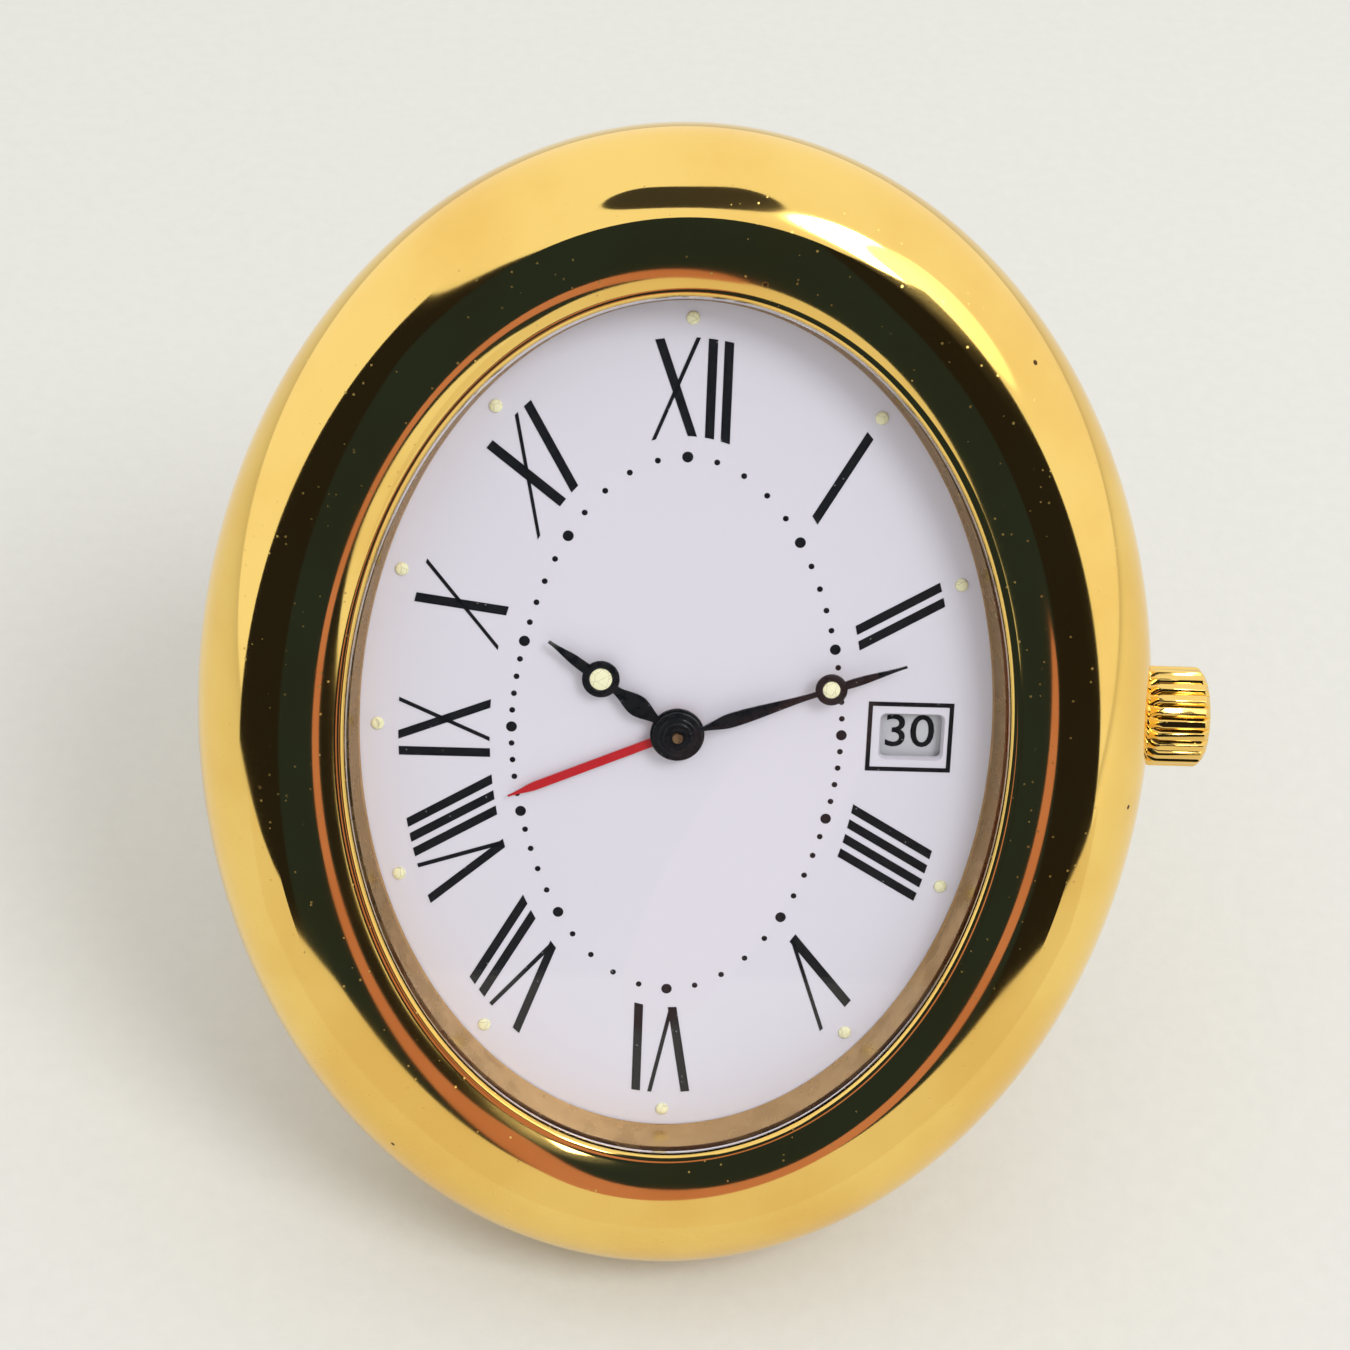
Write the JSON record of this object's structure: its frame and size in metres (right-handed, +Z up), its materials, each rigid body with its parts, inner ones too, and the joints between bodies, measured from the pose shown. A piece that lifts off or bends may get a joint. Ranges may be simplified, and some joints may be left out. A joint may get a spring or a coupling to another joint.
{
  "type": "oval travel alarm clock",
  "caption": "Oval gilt quartz alarm clock with a bevelled crystal, Roman dial, date window, alarm hand and fluted crown, leaning back on a fold-out leg.",
  "frame": {"origin": "centre of the bounding box, on the surface that the clock stands on", "axes": "+Z up, +X to the right of a reader of the dial (towards the crown), +Y away from the reader; the dial leans back 28 degrees"},
  "size_m": [0.0494, 0.0364, 0.0524],
  "materials": {
    "gilt": "polished gold plating, mirror bright, with fine wear",
    "window_glass": "clear mineral glass with a bevelled edge",
    "seal": "dark moulded seal",
    "brass": "fine turned brass",
    "dial_paint": "satin lavender white paint on brass",
    "black_paint": "gloss black enamel",
    "red_paint": "gloss red enamel",
    "lume": "matt pale cream luminous paint",
    "steel": "bright nickel-plated steel",
    "white_plastic": "matt white plastic",
    "circuit_green": "solder-masked laminate",
    "black_resin": "matt black moulding resin",
    "copper": "enamelled copper wire",
    "ceramic": "unglazed piezo ceramic"
  },
  "bodies": {
    "case": {"front_case": "gilt", "crystal": "window_glass", "crystal_gasket": "seal", "rehaut_ring": "gilt", "dial": "dial_paint", "back_cover": "gilt", "back_gasket": "seal", "back_screw_1": "steel", "back_screw_2": "steel", "back_screw_3": "steel", "back_screw_4": "steel", "date_disc_guard": "steel", "guard_screw_1": "steel", "guard_screw_2": "steel", "guard_screw_3": "steel", "main_plate": "brass", "movement_holder": "white_plastic", "stator": "steel", "coil_core": "steel", "coil_winding": "copper", "train_bridge": "brass", "bridge_screw_1": "steel", "bridge_screw_2": "steel", "bridge_screw_3": "steel", "battery": "steel", "battery_clip": "steel", "circuit_board": "circuit_green", "quartz_crystal_can": "steel", "control_chip": "black_resin", "buzzer_plate": "brass", "buzzer_ceramic": "ceramic", "buzzer_contact_spring": "steel", "crown_tube": "brass", "stand_hinge_pin": "steel"},
    "minute_train": {"minute_hand": "black_paint", "minute_hand_lume": "lume", "cannon_pinion": "steel", "centre_wheel": "brass"},
    "hour_train": {"hour_hand": "black_paint", "hour_hand_lume": "lume", "hour_wheel": "brass"},
    "alarm_train": {"alarm_hand": "red_paint", "alarm_wheel": "brass"},
    "minute_wheel": {"minute_wheel": "brass"},
    "setting_wheel": {"setting_wheel": "steel"},
    "alarm_setting_wheel": {"alarm_setting_wheel": "brass"},
    "date_intermediate_wheel": {"date_intermediate_wheel": "brass"},
    "date_drive_wheel": {"date_drive_wheel": "brass"},
    "date_disc": {"date_disc": "white_plastic"},
    "train_wheel": {"train_wheel": "brass"},
    "rotor": {"rotor": "steel"},
    "crown_slide": {"crown_gasket": "seal"},
    "crown": {"crown": "gilt", "winding_stem": "steel", "stem_pinion": "steel"},
    "setting_lever": {"setting_lever": "steel"},
    "stand_leg": {"stand_leg": "gilt"}
  },
  "joints": [
    {"name": "minute_hand_turn", "type": "hinge", "parent": "case", "child": "minute_train", "pos_m": [-0.00171, -0.0034, 0.02729], "axis": [0, 0.8829, -0.4695], "continuous": true},
    {"name": "hour_hand_turn", "type": "hinge", "parent": "case", "child": "hour_train", "pos_m": [-0.00171, -0.0034, 0.02729], "axis": [0, 0.8829, -0.4695], "continuous": true},
    {"name": "minute_wheel_turn", "type": "hinge", "parent": "case", "child": "minute_wheel", "pos_m": [0.00088, -0.0027, 0.02861], "axis": [0, 0.8829, -0.4695], "continuous": true},
    {"name": "setting_wheel_turn", "type": "hinge", "parent": "case", "child": "setting_wheel", "pos_m": [0.00454, -0.00309, 0.02786], "axis": [0, 0.8829, -0.4695], "continuous": true},
    {"name": "date_intermediate_turn", "type": "hinge", "parent": "case", "child": "date_intermediate_wheel", "pos_m": [0.00021, -0.00448, 0.02526], "axis": [0, 0.8829, -0.4695], "continuous": true},
    {"name": "date_drive_turn", "type": "hinge", "parent": "case", "child": "date_drive_wheel", "pos_m": [-0.00243, -0.00601, 0.02237], "axis": [0, 0.8829, -0.4695], "continuous": true},
    {"name": "date_disc_turn", "type": "hinge", "parent": "case", "child": "date_disc", "pos_m": [-0.00171, -0.0034, 0.02729], "axis": [0, 0.8829, -0.4695], "continuous": true},
    {"name": "train_wheel_turn", "type": "hinge", "parent": "case", "child": "train_wheel", "pos_m": [-0.00347, -0.00197, 0.02997], "axis": [0, 0.8829, -0.4695], "continuous": true},
    {"name": "rotor_turn", "type": "hinge", "parent": "case", "child": "rotor", "pos_m": [-0.00634, -0.00119, 0.03143], "axis": [0, 0.8829, -0.4695], "continuous": true},
    {"name": "alarm_hand_turn", "type": "hinge", "parent": "case", "child": "alarm_train", "pos_m": [-0.00171, -0.0034, 0.02729], "axis": [0, 0.8829, -0.4695], "continuous": true},
    {"name": "alarm_setting_turn", "type": "hinge", "parent": "case", "child": "alarm_setting_wheel", "pos_m": [-0.00538, -0.00403, 0.02611], "axis": [0, 0.8829, -0.4695], "continuous": true},
    {"name": "crown_pull", "type": "slide", "parent": "case", "child": "crown_slide", "axis": [1, 0, 0], "range_m": [0, 0.0013]},
    {"name": "crown_turn", "type": "hinge", "parent": "crown_slide", "child": "crown", "pos_m": [0.01828, 0.00054, 0.02519], "axis": [1, 0, 0], "continuous": true},
    {"name": "setting_lever_turn", "type": "hinge", "parent": "case", "child": "setting_lever", "pos_m": [0.00788, 0.0011, 0.02829], "axis": [0, -0.8829, 0.4695], "range_deg": [0, 26]},
    {"name": "stand_leg_fold", "type": "hinge", "parent": "case", "child": "stand_leg", "pos_m": [-0.00171, 0.01049, 0.03349], "axis": [1, 0, 0], "range_deg": [-40, 0]}
  ],
  "couplings": [
    {"joint": "hour_hand_turn", "follows": "minute_hand_turn", "ratio": 0.083333},
    {"joint": "minute_wheel_turn", "follows": "minute_hand_turn", "ratio": -0.33333},
    {"joint": "setting_wheel_turn", "follows": "minute_hand_turn", "ratio": 0.5},
    {"joint": "date_intermediate_turn", "follows": "minute_hand_turn", "ratio": -0.055556},
    {"joint": "date_drive_turn", "follows": "minute_hand_turn", "ratio": 0.041667},
    {"joint": "date_disc_turn", "follows": "minute_hand_turn", "ratio": 0.0013441},
    {"joint": "train_wheel_turn", "follows": "minute_hand_turn", "ratio": -8},
    {"joint": "rotor_turn", "follows": "minute_hand_turn", "ratio": 60},
    {"joint": "alarm_setting_turn", "follows": "alarm_hand_turn", "ratio": -1.6},
    {"joint": "setting_lever_turn", "follows": "crown_pull", "rad_per_m": 345}
  ]
}
